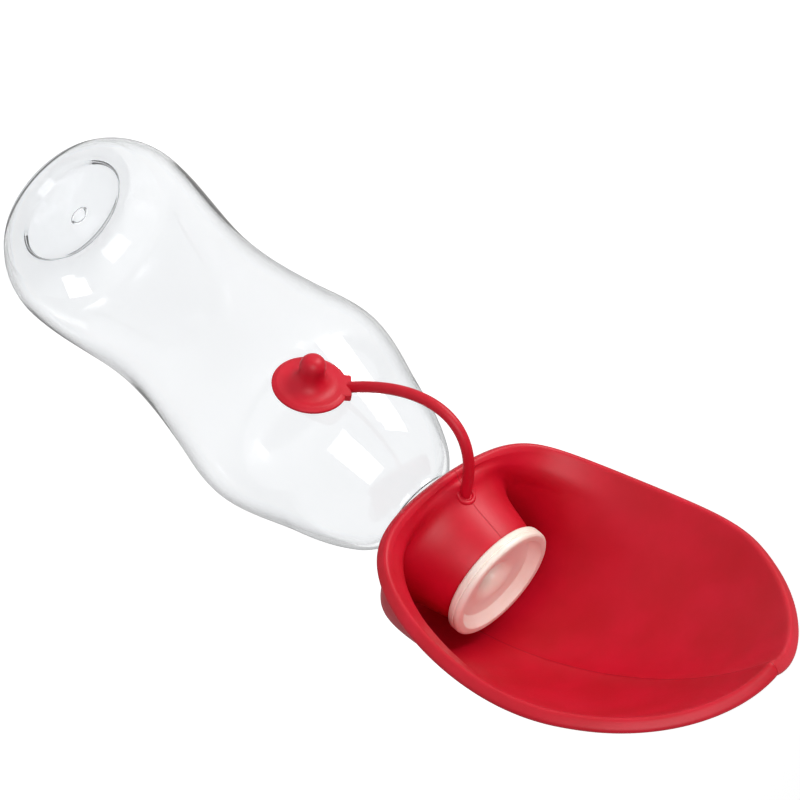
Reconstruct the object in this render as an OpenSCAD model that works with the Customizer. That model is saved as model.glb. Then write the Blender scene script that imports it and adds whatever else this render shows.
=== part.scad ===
// Travel water bottle for dogs: a squeeze bottle that pours into a soft leaf bowl.
// Frame: the bottle stands upright on z = 0 with its axis on Z. The bowl opens towards +X.
// All sizes are in millimetres.

/* [Bottle body] */
// Largest radius of the bulge above the base
base_bulge_r = 36; // [34:0.5:38]
// Height of the base bulge
base_bulge_z = 20; // [18:1:24]
// Radius of the round turn from the base bulge down to the standing ring
base_turn_r = 28; // [26:1:32]
// Radius of the waist, the narrow part that is gripped
waist_r = 31; // [27:0.5:33]
// Height of the waist
waist_z = 66; // [58:1:72]
// Radius part of the way up from waist to shoulder
flare_r = 34.7; // [33.5:0.1:36]
// Height of that radius
flare_z = 98; // [92:1:104]
// Largest radius of the shoulder
shoulder_r = 38; // [37:0.5:40]
// Height of the shoulder
shoulder_z = 118; // [114:1:122]
// Radius half way up the cone above the shoulder
cone_r = 30; // [28:0.5:32]
// Height of that radius
cone_z = 148; // [144:1:152]
// Radius at the throat, below the neck
throat_r = 21.8; // [20:0.1:24]
// Height of the throat
throat_z = 167; // [164:1:169]
// Wall of the blown body
body_wall = 0.9; // [0.7:0.1:1.4]

/* [Bottle base] */
// Outer radius of the ring the bottle stands on
stand_r = 26.5; // [24:0.5:27]
// Inner radius of that ring
stand_inner_r = 21; // [19:0.5:22]
// Radius of the pushed-in panel inside the ring
panel_r = 19.8; // [17:0.2:20.4]
// Height of the panel's edge
panel_edge_z = 2.8; // [2:0.2:4]
// Height of the panel's crown
panel_crown_z = 5.6; // [4.4:0.2:7]
// Radius of the small gate ring at the panel's centre
gate_r = 2.8; // [2:0.2:4]
// How far the gate ring stands out below the panel
gate_drop = 0.5; // [0.3:0.1:0.8]

/* [Neck] */
// Height at which the straight neck starts
neck_base_z = 177; // [175:1:180]
// Length of the straight neck
neck_length = 24; // [22:0.5:28]
// Outer radius of the neck between its threads
neck_r = 14.1; // [13.6:0.1:14.6]
// Wall of the neck
neck_wall = 1.9; // [1.5:0.1:2.4]
// Radius of the support flange under the thread
flange_r = 16.8; // [16:0.1:17.4]
// Thickness of that flange
flange_t = 1.6; // [1.2:0.1:2.2]
// Height of the thread above the neck
thread_h = 1; // [0.8:0.05:1.1]
// Rise of the thread in one turn
thread_pitch = 4; // [3.6:0.1:4.4]
// Turns of the thread
thread_turns = 1.5; // [1:0.25:1.75]

/* [Pour nozzle] */
// Gap between the neck's thread and the nozzle
thread_gap = 0.4; // [0.3:0.05:0.6]
// Wall of the nozzle's skirt
skirt_wall = 2.1; // [1.8:0.1:2.6]
// Thickness of the web that carries the outlet
web_t = 6.5; // [6:0.25:8]
// Radius of the outlet hole
outlet_r = 4.05; // [3.6:0.05:4.5]
// Radius of the rounding into the outlet
outlet_round = 5; // [4:0.25:5.5]
// Depth of the dish in front of the web
dish_depth = 3.2; // [2.6:0.1:4]
// Radius of the dish's flat floor
dish_r = 14.2; // [13.8:0.1:14.6]
// Outer radius of the pouring lip
lip_r = 19.6; // [18.8:0.1:20.4]
// Thickness of the pouring lip
lip_t = 4.5; // [4:0.1:5]
// Rounding of the lip's outer edges
lip_round = 1.2; // [0.8:0.1:1.6]
// Depth of the fine line round the lip
lip_line = 0.3; // [0.2:0.05:0.5]
// Depth of the groove that holds the collar, measured from the skirt
groove_depth = 1.4; // [1.2:0.1:1.6]
// Width of that groove
groove_w = 4; // [3.5:0.1:4.5]

/* [Neck seal] */
// Thickness of the flat seal
seal_t = 1.5; // [1:0.1:2]
// Width of the seal's ring
seal_w = 2.4; // [2:0.1:2.6]
// Gap above and below the seal
seal_gap = 0.05; // [0.03:0.01:0.1]

/* [Leaf bowl] */
// Wall of the bowl
bowl_wall = 2.4; // [2:0.1:2.8]
// Wall at the collar's open end
collar_end_wall = 1.35; // [1.2:0.05:1.5]
// Thickness of the rolled rim
rim_t = 4.2; // [3.6:0.1:4.8]
// Length of the collar, from the lip down to the bowl's rear
collar_length = 18.4; // [17.5:0.1:19.5]
// Radius of the collar's root
collar_root_r = 23.4; // [22.8:0.1:24.4]
// Length of the rim from its rear to the leaf's tip
leaf_length = 116; // [100:0.5:130]
// Half the width of the rim
leaf_half_w = 49.6; // [44:0.2:56]
// How far the sides of the rim curve down from its rear
rim_dip = 15.3; // [8:0.1:18]
// How far the sides of the rim curve down from its tip
spout_dip = 12.6; // [6:0.1:15]
// Lean of the rim away from the bottle's axis
leaf_lean = 12.8; // [10:0.2:16]
// Fit between the collar and the nozzle
collar_fit = 0.05; // [0.03:0.01:0.1]

/* [Strap] */
// Radius of the round strap
strap_r = 1.75; // [1.5:0.05:2]
// Height of the strap's foot above the collar's root
foot_rise = 1.5; // [1:0.1:2.5]
// Reach of the strap's arch away from the foot
arch_reach = 27; // [24:0.5:30]
// Fit of the strap in its hole
strap_fit = 0.05; // [0.03:0.01:0.1]
// Gap between one stretch of the strap and the next, at the bend between them
bend_gap = 0.5; // [0.45:0.05:0.7]
// Gap between the strap's end and the stopper's tab
tab_gap = 0.1; // [0.05:0.05:0.3]
// Radius of the head that holds the strap behind the collar
barb_r = 2.9; // [2.6:0.1:3.2]
// Thickness of that head
barb_t = 1.1; // [0.9:0.1:1.3]

/* [Stopper] */
// Radius of the stopper's disc
disc_r = 11.75; // [10.5:0.25:13]
// Thickness of the disc
disc_t = 1.8; // [1.4:0.1:2.2]
// Radius of the plug
plug_r = 4; // [3.6:0.05:4.4]
// Length of the plug in front of the disc
plug_length = 10.5; // [9:0.5:12]
// Width of the flat tab where the strap joins the disc
tab_w = 8.8; // [7:0.2:10]
// Distance of the tab's end from the disc's centre
tab_reach = 12.5; // [12:0.1:14]
// Thickness of the tab
tab_t = 2.8; // [2.4:0.1:3.6]
// Sideways place of the parked stopper
stopper_y = 16.9; // [12:0.1:19]
// Height of the parked stopper below the strap's foot
stopper_drop = 52.7; // [48:0.1:58]
// Turn of the tab, from straight up towards -Y
tab_turn = 48; // [35:1:60]
// Gap between the parked stopper and the bottle
stopper_gap = 0.6; // [0.4:0.1:1.5]

/* [Hidden] */
round_fn = 96;
small_fn = 40;

// Places along the axis, each from the one below it
neck_top = neck_base_z + neck_length;
web_bottom = neck_top + seal_t + 2 * seal_gap;
web_top = web_bottom + web_t;
lip_front = web_top + dish_depth;
lip_back = lip_front - lip_t;
root_z = lip_back - collar_length;
foot_z = root_z + foot_rise;

// Radii of the nozzle, from the neck outwards
crest_r = neck_r + thread_h;
skirt_inner_r = crest_r + thread_gap;
skirt_r = skirt_inner_r + skirt_wall;
groove_r = skirt_r - groove_depth;
skirt_bottom = neck_base_z + flange_t + 2;

// ---- Bottle outline -------------------------------------------------------------------------
// Stations of the body: height, radius, slope of the radius
stations = [
    [base_bulge_z, base_bulge_r, 0],
    [waist_z, waist_r, 0],
    [flare_z, flare_r, 0.19],
    [shoulder_z, shoulder_r, 0],
    [cone_z, cone_r, -0.29],
    [throat_z, throat_r, -0.65],
    [neck_base_z, neck_r, 0]
];

// Cubic between two stations, at share t of the way
function cubic(a, b, t) =
    let (d = b[0] - a[0])
    (2 * t ^ 3 - 3 * t ^ 2 + 1) * a[1] + (t ^ 3 - 2 * t ^ 2 + t) * d * a[2]
    + (3 * t ^ 2 - 2 * t ^ 3) * b[1] + (t ^ 3 - t ^ 2) * d * b[2];

// Index of the stretch that holds height z
function stretch_of(z, i = 0) =
    i >= len(stations) - 2 || z <= stations[i + 1][0] ? i : stretch_of(z, i + 1);

// Outer radius of the bottle at height z
function bottle_r(z) =
    z < base_bulge_z
    ? base_bulge_r - base_turn_r + sqrt(max(0, base_turn_r ^ 2 - (base_bulge_z - z) ^ 2))
    : let (i = stretch_of(z), a = stations[i], b = stations[i + 1])
      cubic(a, b, min(1, (z - a[0]) / (b[0] - a[0])));

// Wall at height z: thin in the body, thicker towards the neck
function wall_at(z) =
    body_wall + (neck_wall - body_wall) * max(0, min(1, (z - cone_z) / (neck_base_z - cone_z)));

// Wall measured level, because the surface leans
function level_wall(z) =
    let (slope = (bottle_r(z + 0.1) - bottle_r(z - 0.1)) / 0.2)
    wall_at(z) * sqrt(1 + slope ^ 2);

first_z = 1.2;
body_steps = 60;
body_heights = [for (i = [0:body_steps]) first_z + (neck_base_z - first_z) * i / body_steps];

// Height of the pushed-in panel at radius r
function panel_z(r) = panel_crown_z - (panel_crown_z - panel_edge_z) * (r / panel_r) ^ 2;
panel_radii = [for (i = [0:8]) panel_r * i / 8];

outer_outline = concat(
    [for (r = panel_radii) [r, panel_z(r)]],
    [[stand_inner_r, 0], [stand_r, 0]],
    [for (z = body_heights) [bottle_r(z), z]],
    [[neck_r, neck_top]]
);
inner_outline = concat(
    [for (r = panel_radii) [r, panel_z(r) + body_wall]],
    [[stand_inner_r + body_wall / 2, body_wall], [stand_r - body_wall / 4, body_wall + 0.1]],
    [for (z = body_heights) if (z > 3 * body_wall) [bottle_r(z) - level_wall(z), z]],
    [[neck_r - neck_wall, neck_top]]
);

function reversed(list) = [for (i = [len(list) - 1:-1:0]) list[i]];

// ---- Threads --------------------------------------------------------------------------------
thread_steps = 30;
thread_foot_w = 1.7;
thread_crest_w = 0.8;
thread_z = skirt_bottom + 4;

// One thread tooth at share t of the helix, from radius r_foot to radius r_crest
function tooth(r_foot, r_crest, z_start, turns, t) =
    let (
        fade = min(1, 8 * t, 8 * (1 - t)),
        r = r_foot + (r_crest - r_foot) * max(0.1, fade),
        z = z_start + thread_pitch * turns * t,
        a = 360 * turns * t
    )
    [for (p = [
        [r_foot, z - thread_foot_w / 2], [r, z - thread_crest_w / 2],
        [r, z + thread_crest_w / 2], [r_foot, z + thread_foot_w / 2]
    ]) [p[0] * cos(a), p[0] * sin(a), p[1]]];

// Closed tube through rings that all have the same number of points
module tube(rings, close = false) {
    n = len(rings);
    m = len(rings[0]);
    last = close ? n - 1 : n - 2;
    sides = [for (i = [0:last], j = [0:m - 1], k = [0, 1])
        let (a = i * m, b = (i + 1) % n * m, c = (j + 1) % m)
        k == 0 ? [a + j, b + c, a + c] : [a + j, b + j, b + c]];
    ends = close ? [] : [[for (j = [0:m - 1]) j], [for (j = [m - 1:-1:0]) (n - 1) * m + j]];
    polyhedron([for (ring = rings) each ring], concat(sides, ends));
}

module thread(r_foot, r_crest, z_start, turns) {
    tube([for (i = [0:thread_steps])
        let (ring = tooth(r_foot, r_crest, z_start, turns, i / thread_steps))
        r_crest > r_foot ? reversed(ring) : ring]);
}

// ---- Bottle and seal ------------------------------------------------------------------------
module bottle() color("whitesmoke", 0.4) {
    rotate_extrude($fn = round_fn) polygon(concat(outer_outline, reversed(inner_outline)));
    translate([0, 0, neck_base_z + 0.4]) difference() {
        cylinder(r = flange_r, h = flange_t, $fn = round_fn);
        translate([0, 0, -1]) cylinder(r = neck_r - neck_wall / 2, h = flange_t + 2, $fn = round_fn);
    }
    rotate_extrude($fn = small_fn) translate([gate_r, panel_crown_z - gate_drop])
        square([0.6, gate_drop + body_wall / 2]);
    thread(neck_r - 0.3, crest_r, thread_z, thread_turns);
}

module neck_seal() color("gainsboro") {
    seal_outer = neck_r + 0.4;
    translate([0, 0, neck_top + seal_gap]) difference() {
        cylinder(r = seal_outer, h = seal_t, $fn = round_fn);
        translate([0, 0, -1]) cylinder(r = seal_outer - seal_w, h = seal_t + 2, $fn = round_fn);
    }
}

// ---- Pour nozzle ----------------------------------------------------------------------------
// Points of an arc about c, from angle a to angle b
function arc(c, r, a, b, n = 8) =
    [for (i = [0:n]) let (turn = a + (b - a) * i / n) c + r * [cos(turn), sin(turn)]];

nozzle_outline = concat(
    [[skirt_inner_r, skirt_bottom], [skirt_r, skirt_bottom], [skirt_r, lip_back - groove_w]],
    [[groove_r, lip_back - groove_w], [groove_r, lip_back]],
    arc([lip_r - lip_round, lip_back + lip_round], lip_round, -90, 0),
    [[lip_r, lip_back + lip_t / 2 - lip_line], [lip_r - lip_line, lip_back + lip_t / 2]],
    [[lip_r, lip_back + lip_t / 2 + lip_line]],
    arc([lip_r - lip_round, lip_front - lip_round], lip_round, 0, 90),
    [[dish_r + 2.6, lip_front], [dish_r + 1.4, lip_front - 0.5 * dish_depth], [dish_r, web_top]],
    arc([outlet_r + outlet_round, web_top - outlet_round], outlet_round, 90, 180),
    [[outlet_r, web_bottom], [skirt_inner_r, web_bottom]]
);

module pour_nozzle() color("antiquewhite") {
    rotate_extrude($fn = round_fn) polygon(nozzle_outline);
    rotate([0, 0, 180]) thread(skirt_inner_r + 0.3, skirt_inner_r - thread_h, thread_z, thread_turns);
}

// ---- Leaf bowl ------------------------------------------------------------------------------
// The bowl is one soft skin: it leaves the collar's end, runs down the collar, turns outwards at
// the collar's root and rises to the leaf-shaped rim. theta runs round the collar, 0 at the rear
// of the rim (+X) and 180 at the leaf's tip.
along = [sin(leaf_lean), 0, cos(leaf_lean)];
above = [cos(leaf_lean), 0, -sin(leaf_lean)];
side = [0, 1, 0];
// Place of the rim's rear, out from the collar's root and below it
rear_out = 2.1;
rear_drop = 3.9;
rim_rear = [collar_root_r + rear_out, 0, root_z - rear_drop];
// Power of the rim's egg curve: square and blunt at the rear, drawn out at the tip
rear_power = 5.4;
tip_power = 1.57;
power_turn = [16, 123];
// Stretch of the rim in which its dip changes to that of the spout, and how quickly the spout rises
spout_turn = [45, 110];
spout_rise = 2.1;

function unit(v) = v / norm(v);
function mix(a, b, t) = a + (b - a) * t;
function bezier(p, t) =
    (1 - t) ^ 3 * p[0] + 3 * t * (1 - t) ^ 2 * p[1] + 3 * t ^ 2 * (1 - t) * p[2] + t ^ 3 * p[3];

function smooth(t) = let (c = max(0, min(1, t))) c * c * (3 - 2 * c);
// How far value has come from span[0] to span[1], smoothed
function within(span, value) = smooth((value - span[0]) / (span[1] - span[0]));

// Place of the rim at theta. Seen from above it is an egg, blunt at the rear and pointed at the
// tip; its sides curve down, and with sharp = true they turn up to the tip in a small spout.
function rim_point(theta, sharp = true) =
    let (
        s = sin(theta),
        turn = theta <= 180 ? theta : 360 - theta,
        power = mix(rear_power, tip_power, within(power_turn, turn)),
        forward = sqrt(max(0, 1 - abs(s) ^ power)) * (turn < 90 ? 1 : -1),
        spout = sharp ? within(spout_turn, turn) : 0,
        dip = mix(rim_dip * s ^ 2, spout_dip * (1 - exp(-spout_rise * abs(s))), spout)
    )
    rim_rear + leaf_length / 2 * (1 - forward) * along + leaf_half_w * s * side - dip * above;

// Direction in which the wall reaches the rim: it leans out, least at the rear
rear_lean = 0.75;
side_lean = 0.85;
lean_turn = [0, 1.2];
function wall_end(theta) =
    let (out = -cos(theta) * along + sin(theta) * side)
    unit(above + mix(rear_lean, side_lean, within(lean_turn, 1 - cos(theta))) * out);

// Collar: radius and height of its middle surface at share t from its open end, just under the lip
collar_end_r = groove_r + collar_fit + collar_end_wall / 2;
lip_gap = 0.35;
collar_top_pull = [2.6, 5.9];
collar_root_pull = [1.6, 5.5];
collar_line = [
    [collar_end_r, lip_back - lip_gap],
    [collar_end_r + collar_top_pull[0], lip_back - collar_top_pull[1]],
    [collar_root_r - collar_root_pull[0], root_z + collar_root_pull[1]],
    [collar_root_r, root_z]
];
// Wall from the collar's root to the rim: the way it leaves the root, how far that pull reaches at
// the rear and under the tip, its largest share of the distance, and the rim's pull as a share at
// the rear, at the sides and under the tip
root_start = [0.82, -0.57];
root_reach = [9, 28.5];
root_share = 0.3;
rim_share = [0.2, 0.46, 0.6];
side_turn = [0.12, 0.57];

// Middle surface of the skin: v from 0 to 1 down the collar, and from 1 to 2 out to the rim
function skin(theta, v) =
    v <= 1
    ? let (p = bezier(collar_line, v)) [p[0] * cos(theta), p[0] * sin(theta), p[1]]
    : let (
          root = [collar_root_r * cos(theta), collar_root_r * sin(theta), root_z],
          rim = rim_point(theta, false),
          reach = norm(rim - root),
          start = [root_start[0] * cos(theta), root_start[0] * sin(theta), root_start[1]],
          turned = (1 - cos(theta)) / 2,
          p1 = root + min(mix(root_reach[0], root_reach[1], turned ^ 1.5), root_share * reach) * start,
          beside = mix(rim_share[0], rim_share[1], within(side_turn, turned)),
          p2 = rim - mix(beside, rim_share[2], turned ^ 3) * reach * wall_end(theta)
      )
      bezier([root, p1, p2, rim_point(theta)], v - 1);

// Thickness of the skin: the collar thickens on its way down, and the wall swells into the rim
collar_swell = [0.2, 0.7];
rim_swell = 1.82;
function skin_t(v) =
    v <= 1
    ? mix(collar_end_wall, bowl_wall,
          max(0, min(1, (v - collar_swell[0]) / (collar_swell[1] - collar_swell[0]))))
    : mix(bowl_wall, rim_t, max(0, (v - rim_swell) / (2 - rim_swell)) ^ 2);

skin_around = 54;
collar_rows = 5;
wall_rows = 12;
skin_rows = concat(
    [for (i = [0:collar_rows]) i / collar_rows],
    [for (i = [1:wall_rows]) 1 + i / wall_rows]
);

// Normal of the skin, pointing into the bowl
function skin_normal(theta, v) =
    let (
        e = 0.02,
        du = skin(theta + 1, v) - skin(theta - 1, v),
        v0 = max(0, v - e),
        v1 = min(2, v + e),
        dv = skin(theta, v1) - skin(theta, v0)
    )
    unit(cross(dv, du));

// Ring of points across the skin at one theta: the inside, the rolled rim, the outside
function skin_ring(theta) =
    let (
        rim = skin(theta, 2),
        n = skin_normal(theta, 2),
        out = unit(rim - skin(theta, 1.97)),
        inside = [for (v = skin_rows) skin(theta, v) + skin_t(v) / 2 * skin_normal(theta, v)],
        roll = [for (a = [45, 90, 135]) rim + rim_t / 2 * (cos(a) * n + sin(a) * out)],
        outside = [for (v = skin_rows) skin(theta, v) - skin_t(v) / 2 * skin_normal(theta, v)]
    )
    concat(inside, roll, reversed(outside));

// The strap's hole at the rear: where the strap leaves the collar's face, and where its head lies
foot_out = 0.6;
head_in = 1.1;
foot_x = collar_root_r + foot_out;
head_x = foot_x - bowl_wall - head_in;

module leaf_bowl() color("crimson") difference() {
    tube([for (i = [0:skin_around - 1]) skin_ring(360 * i / skin_around)], close = true);
    translate([head_x, 0, foot_z]) rotate([0, 90, 0])
        cylinder(r = strap_r + strap_fit, h = foot_x - head_x + bowl_wall, $fn = small_fn);
}

// ---- Strap ----------------------------------------------------------------------------------
// Parked stopper: its disc lies against the bottle's side, facing +X
stopper_z = foot_z - stopper_drop;
disc_back_x = stopper_gap + max([for (a = [0:15:345])
    let (y = stopper_y + disc_r * cos(a), r = bottle_r(stopper_z + disc_r * sin(a)))
    sqrt(max(0, r ^ 2 - y ^ 2))]);
disc_mid_x = disc_back_x + disc_t / 2;
tab_way = [0, -sin(tab_turn), cos(tab_turn)];
tab_end = [disc_mid_x, stopper_y, stopper_z] + tab_reach * tab_way;

// The strap's middle line: one smooth arch from its foot to the stopper's tab
tab_pull = [17.8, -8.3, 25.2];
strap_line = [[foot_x, 0, foot_z], [foot_x + arch_reach, 0, foot_z], tab_end + tab_pull, tab_end];
bends = 5;
first_bend = 0.16;
last_bend = 0.7;
function bend_share(i) = mix(first_bend, last_bend, (i - 1) / (bends - 1));
function strap_way(t) = unit(bezier(strap_line, t + 0.01) - bezier(strap_line, t - 0.01));

// Ring of radius r about p, square to the direction way
strap_sides = 24;
function strap_ring(p, way, r) =
    let (a = unit(cross(way, side)), b = cross(way, a))
    [for (i = [0:strap_sides - 1])
        let (turn = 360 * i / strap_sides) p + r * (cos(turn) * a + sin(turn) * b)];

// Round end of a stretch at share t, from its pole to the full section
function ball_rings(t) = [for (a = [85, 65, 45, 22.5, 0])
    strap_ring(bezier(strap_line, t) - strap_r * sin(a) * strap_way(t), strap_way(t), strap_r * cos(a))];

// Hollow end of a stretch before share t, from its edge to its middle; the next round end turns in it
cup_r = strap_r + bend_gap;
function cup_rings(t) = [for (share = [1, 0.8, 0.55, 0.3, 0.08])
    let (back = sqrt(cup_r ^ 2 - (share * strap_r) ^ 2))
    strap_ring(bezier(strap_line, t) - back * strap_way(t), strap_way(t), share * strap_r)];

// Rings between two shares of the strap, leaving out both ends
stretch_rings = 5;
end_room = 0.06;
function run_rings(start, end) = [for (i = [1:stretch_rings])
    let (t = mix(start, end - end_room, i / stretch_rings))
    strap_ring(bezier(strap_line, t), strap_way(t), strap_r)];

module strap_link(i) color("crimson")
    tube(concat(
        ball_rings(bend_share(i)),
        run_rings(bend_share(i), bend_share(i + 1)),
        cup_rings(bend_share(i + 1))
    ));

// Foot: a flat head behind the collar, a straight stub through its hole and the first of the arch
head_edge = 0.3;
module strap_foot() color("crimson")
    tube(concat(
        [for (p = [
            [head_x - barb_t, barb_r - head_edge], [head_x - barb_t + head_edge, barb_r],
            [head_x, barb_r], [head_x, strap_r], [foot_x, strap_r]
        ]) strap_ring([p[0], 0, foot_z], [1, 0, 0], p[1])],
        run_rings(0, first_bend),
        cup_rings(first_bend)
    ));

// Tip: its last ring is laid on the flat end of the tab, a gap away from it
module strap_tip() color("crimson") {
    stop = tab_end + tab_gap * tab_way;
    way = strap_way(1);
    tube(concat(
        ball_rings(last_bend),
        run_rings(last_bend, 1),
        [[for (p = strap_ring(stop, way, strap_r)) p + (stop - p) * tab_way / (way * tab_way) * way]]
    ));
}

// ---- Stopper --------------------------------------------------------------------------------
// Outline of disc and plug about the plug's axis; the plug points to +Z here. The hollow of the
// blend is a little wider than the rounding of the outlet, so that the two never bind.
blend_r = outlet_round - 0.2;
plug_round = plug_r - 0.5;
tab_inner = disc_r - 4.5;
stopper_outline = concat(
    [[0, 0], [disc_r - 0.5, 0]],
    arc([disc_r - 0.5, 0.5], 0.5, -90, 0, 4),
    [[disc_r, disc_t - 0.6], [disc_r - 0.5, disc_t - 0.1], [disc_r - 1.4, disc_t]],
    arc([plug_r + blend_r, disc_t + blend_r], blend_r, -90, -180),
    arc([plug_r - plug_round, disc_t + plug_length - plug_round], plug_round, 0, 90),
    [[0, disc_t + plug_length]]
);

module stopper() color("crimson") translate([disc_back_x, stopper_y, stopper_z])
    rotate([tab_turn, 0, 0]) rotate([0, 90, 0]) {
        rotate_extrude($fn = round_fn) polygon(stopper_outline);
        translate([-tab_reach, -tab_w / 2, disc_t - tab_t])
            cube([tab_reach - tab_inner, tab_w, tab_t]);
    }

bottle();
neck_seal();
pour_nozzle();
leaf_bowl();
strap_foot();
strap_link(1);  // strap_link_1
strap_link(2);  // strap_link_2
strap_link(3);  // strap_link_3
strap_link(4);  // strap_link_4
strap_tip();
stopper();
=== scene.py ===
"""Looks of a travel water bottle for dogs: a clear squeeze bottle that pours into a red leaf-shaped bowl.

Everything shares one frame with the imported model: the bottle stands on z = 0 with its axis on Z, and the
bowl opens towards +X. Sizes in the classes are in millimetres and become metres where a mesh is made.
"""

import logging
import math
from dataclasses import dataclass
from enum import Enum

import bpy
import numpy as np
from mathutils import Matrix, Vector

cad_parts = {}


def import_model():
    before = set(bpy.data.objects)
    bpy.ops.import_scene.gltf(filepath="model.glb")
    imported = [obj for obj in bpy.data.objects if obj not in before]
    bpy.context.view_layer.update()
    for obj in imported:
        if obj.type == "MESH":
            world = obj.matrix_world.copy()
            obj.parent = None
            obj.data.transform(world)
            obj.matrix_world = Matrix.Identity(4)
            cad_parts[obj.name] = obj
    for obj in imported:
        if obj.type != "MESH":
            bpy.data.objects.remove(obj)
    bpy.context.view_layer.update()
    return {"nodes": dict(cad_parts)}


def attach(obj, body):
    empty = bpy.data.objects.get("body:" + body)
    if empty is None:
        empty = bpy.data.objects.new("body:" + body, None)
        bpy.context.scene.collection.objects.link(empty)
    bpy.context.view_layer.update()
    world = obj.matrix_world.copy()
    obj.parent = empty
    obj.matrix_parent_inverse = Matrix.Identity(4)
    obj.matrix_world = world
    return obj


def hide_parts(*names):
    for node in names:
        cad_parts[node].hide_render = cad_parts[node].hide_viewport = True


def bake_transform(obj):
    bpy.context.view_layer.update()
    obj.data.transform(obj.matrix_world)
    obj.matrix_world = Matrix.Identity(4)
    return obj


MM = 0.001
TURN = 2 * np.pi
ON_WALL = 0.05
log = logging.getLogger("travel_bottle")


# ---- Curves and rings ----
def unit(vectors: np.ndarray) -> np.ndarray:
    """Each vector of an array, held in its last axis, over its own length."""
    return vectors / np.linalg.norm(vectors, axis=-1, keepdims=True)


def mix(a: np.ndarray, b: np.ndarray, t: np.ndarray) -> np.ndarray:
    """The value t of the way from a to b."""
    return a + (b - a) * t


def smooth(t: np.ndarray) -> np.ndarray:
    """The smooth step 3 t^2 - 2 t^3, with t held between 0 and 1."""
    held = np.clip(t, 0.0, 1.0)
    return held * held * (3.0 - 2.0 * held)


def bezier(controls: list[np.ndarray], t: np.ndarray) -> np.ndarray:
    """Cubic Bezier curve: (1-t)^3 a + 3 t (1-t)^2 b + 3 t^2 (1-t) c + t^3 d.

    Args:
        controls: four control points, each an array that ends in the point's coordinates.
        t: shares of the way along the curve, of any shape.

    Returns:
        Points, with the shape of t and the coordinates last.
    """
    a, b, c, d = (np.asarray(point, float) for point in controls)
    s = np.asarray(t, float)[..., None]
    return (1 - s) ** 3 * a + 3 * s * (1 - s) ** 2 * b + 3 * s**2 * (1 - s) * c + s**3 * d


def rounded(corners: list[tuple[float, float, float]], steps: int = 7) -> np.ndarray:
    """Outline through corners, each of which is turned into an arc of its own radius.

    An arc of radius R between two edges that meet at an angle A starts R / tan(A / 2) before the corner.

    Args:
        corners: (radius from the axis, height, rounding radius) of each corner; the ends stay sharp.
        steps: points on each arc.

    Returns:
        Points (radius, height) along the outline.
    """
    points = [np.array(corners[0][:2], float)[None]]
    for before, here, after in zip(corners, corners[1:], corners[2:]):
        corner = np.array(here[:2], float)
        back = unit(np.array(before[:2], float) - corner)
        ahead = unit(np.array(after[:2], float) - corner)
        half = math.acos(float(np.clip(back @ ahead, -1.0, 1.0))) / 2
        if here[2] <= 0 or abs(half - math.pi / 2) < 1e-3:
            points.append(corner[None])
            continue
        centre = corner + unit(back + ahead) * here[2] / math.sin(half)
        start = corner + back * here[2] / math.tan(half) - centre
        end = corner + ahead * here[2] / math.tan(half) - centre
        turn = math.acos(float(np.clip(unit(start) @ unit(end), -1.0, 1.0)))
        t = np.linspace(0.0, 1.0, steps)[:, None]
        points.append(centre + (np.sin((1 - t) * turn) * start + np.sin(t * turn) * end) / math.sin(turn))
    points.append(np.array(corners[-1][:2], float)[None])
    return np.vstack(points)


def densified(outline: np.ndarray, step: float) -> np.ndarray:
    """The same outline with points added, so that none of its edges is longer than step.

    Args:
        outline: points (radius, height).
        step: longest edge allowed, in millimetres.

    Returns:
        The outline's own points and the added ones, in order.
    """
    edges = np.diff(outline, axis=0)
    length = np.linalg.norm(edges, axis=1)
    outline = outline[np.concatenate([[True], length > 1e-6])]
    reach = np.concatenate([[0.0], np.cumsum(np.linalg.norm(np.diff(outline, axis=0), axis=1))])
    counts = np.maximum(1, np.ceil(np.diff(reach) / step)).astype(int)
    first = np.repeat(np.cumsum(np.concatenate([[0], counts[:-1]])), counts)
    share = (np.arange(counts.sum()) - first) / np.repeat(counts, counts)
    at = np.append(np.repeat(reach[:-1], counts) + share * np.repeat(np.diff(reach), counts), reach[-1])
    return np.stack([np.interp(at, reach, outline[:, 0]), np.interp(at, reach, outline[:, 1])], axis=1)


def revolved(outline: np.ndarray, columns: int) -> np.ndarray:
    """Rings of an outline turned about Z: (r cos a, r sin a, z) for evenly spaced angles a.

    Args:
        outline: points (radius, height).
        columns: points round each ring.

    Returns:
        Array of rings, points round the ring and coordinates.
    """
    angle = np.linspace(0.0, TURN, columns, endpoint=False)
    radius, height = outline[:, :1], outline[:, 1:]
    return np.stack([radius * np.cos(angle), radius * np.sin(angle), height + 0 * angle], axis=-1)


def swept(path: np.ndarray, radius: np.ndarray, columns: int) -> np.ndarray:
    """Round rings carried along a path, each square to it and turned as little as possible from the last.

    Args:
        path: points of the path.
        radius: radius of the ring at each point.
        columns: points round each ring.

    Returns:
        Array of rings, points round the ring and coordinates.
    """
    tangent = unit(np.gradient(path, axis=0))
    across = np.empty_like(path)
    seed = np.array([0.0, 1.0, 0.0]) if abs(tangent[0][1]) < 0.9 else np.array([1.0, 0.0, 0.0])
    across[0] = unit(seed - (seed @ tangent[0]) * tangent[0])
    for i in range(1, len(path)):
        across[i] = unit(across[i - 1] - (across[i - 1] @ tangent[i]) * tangent[i])
    third = np.cross(tangent, across)
    angle = np.linspace(0.0, TURN, columns, endpoint=False)[None, :, None]
    ring = np.cos(angle) * across[:, None] + np.sin(angle) * third[:, None]
    return path[:, None] + np.asarray(radius, float)[:, None, None] * ring


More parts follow.
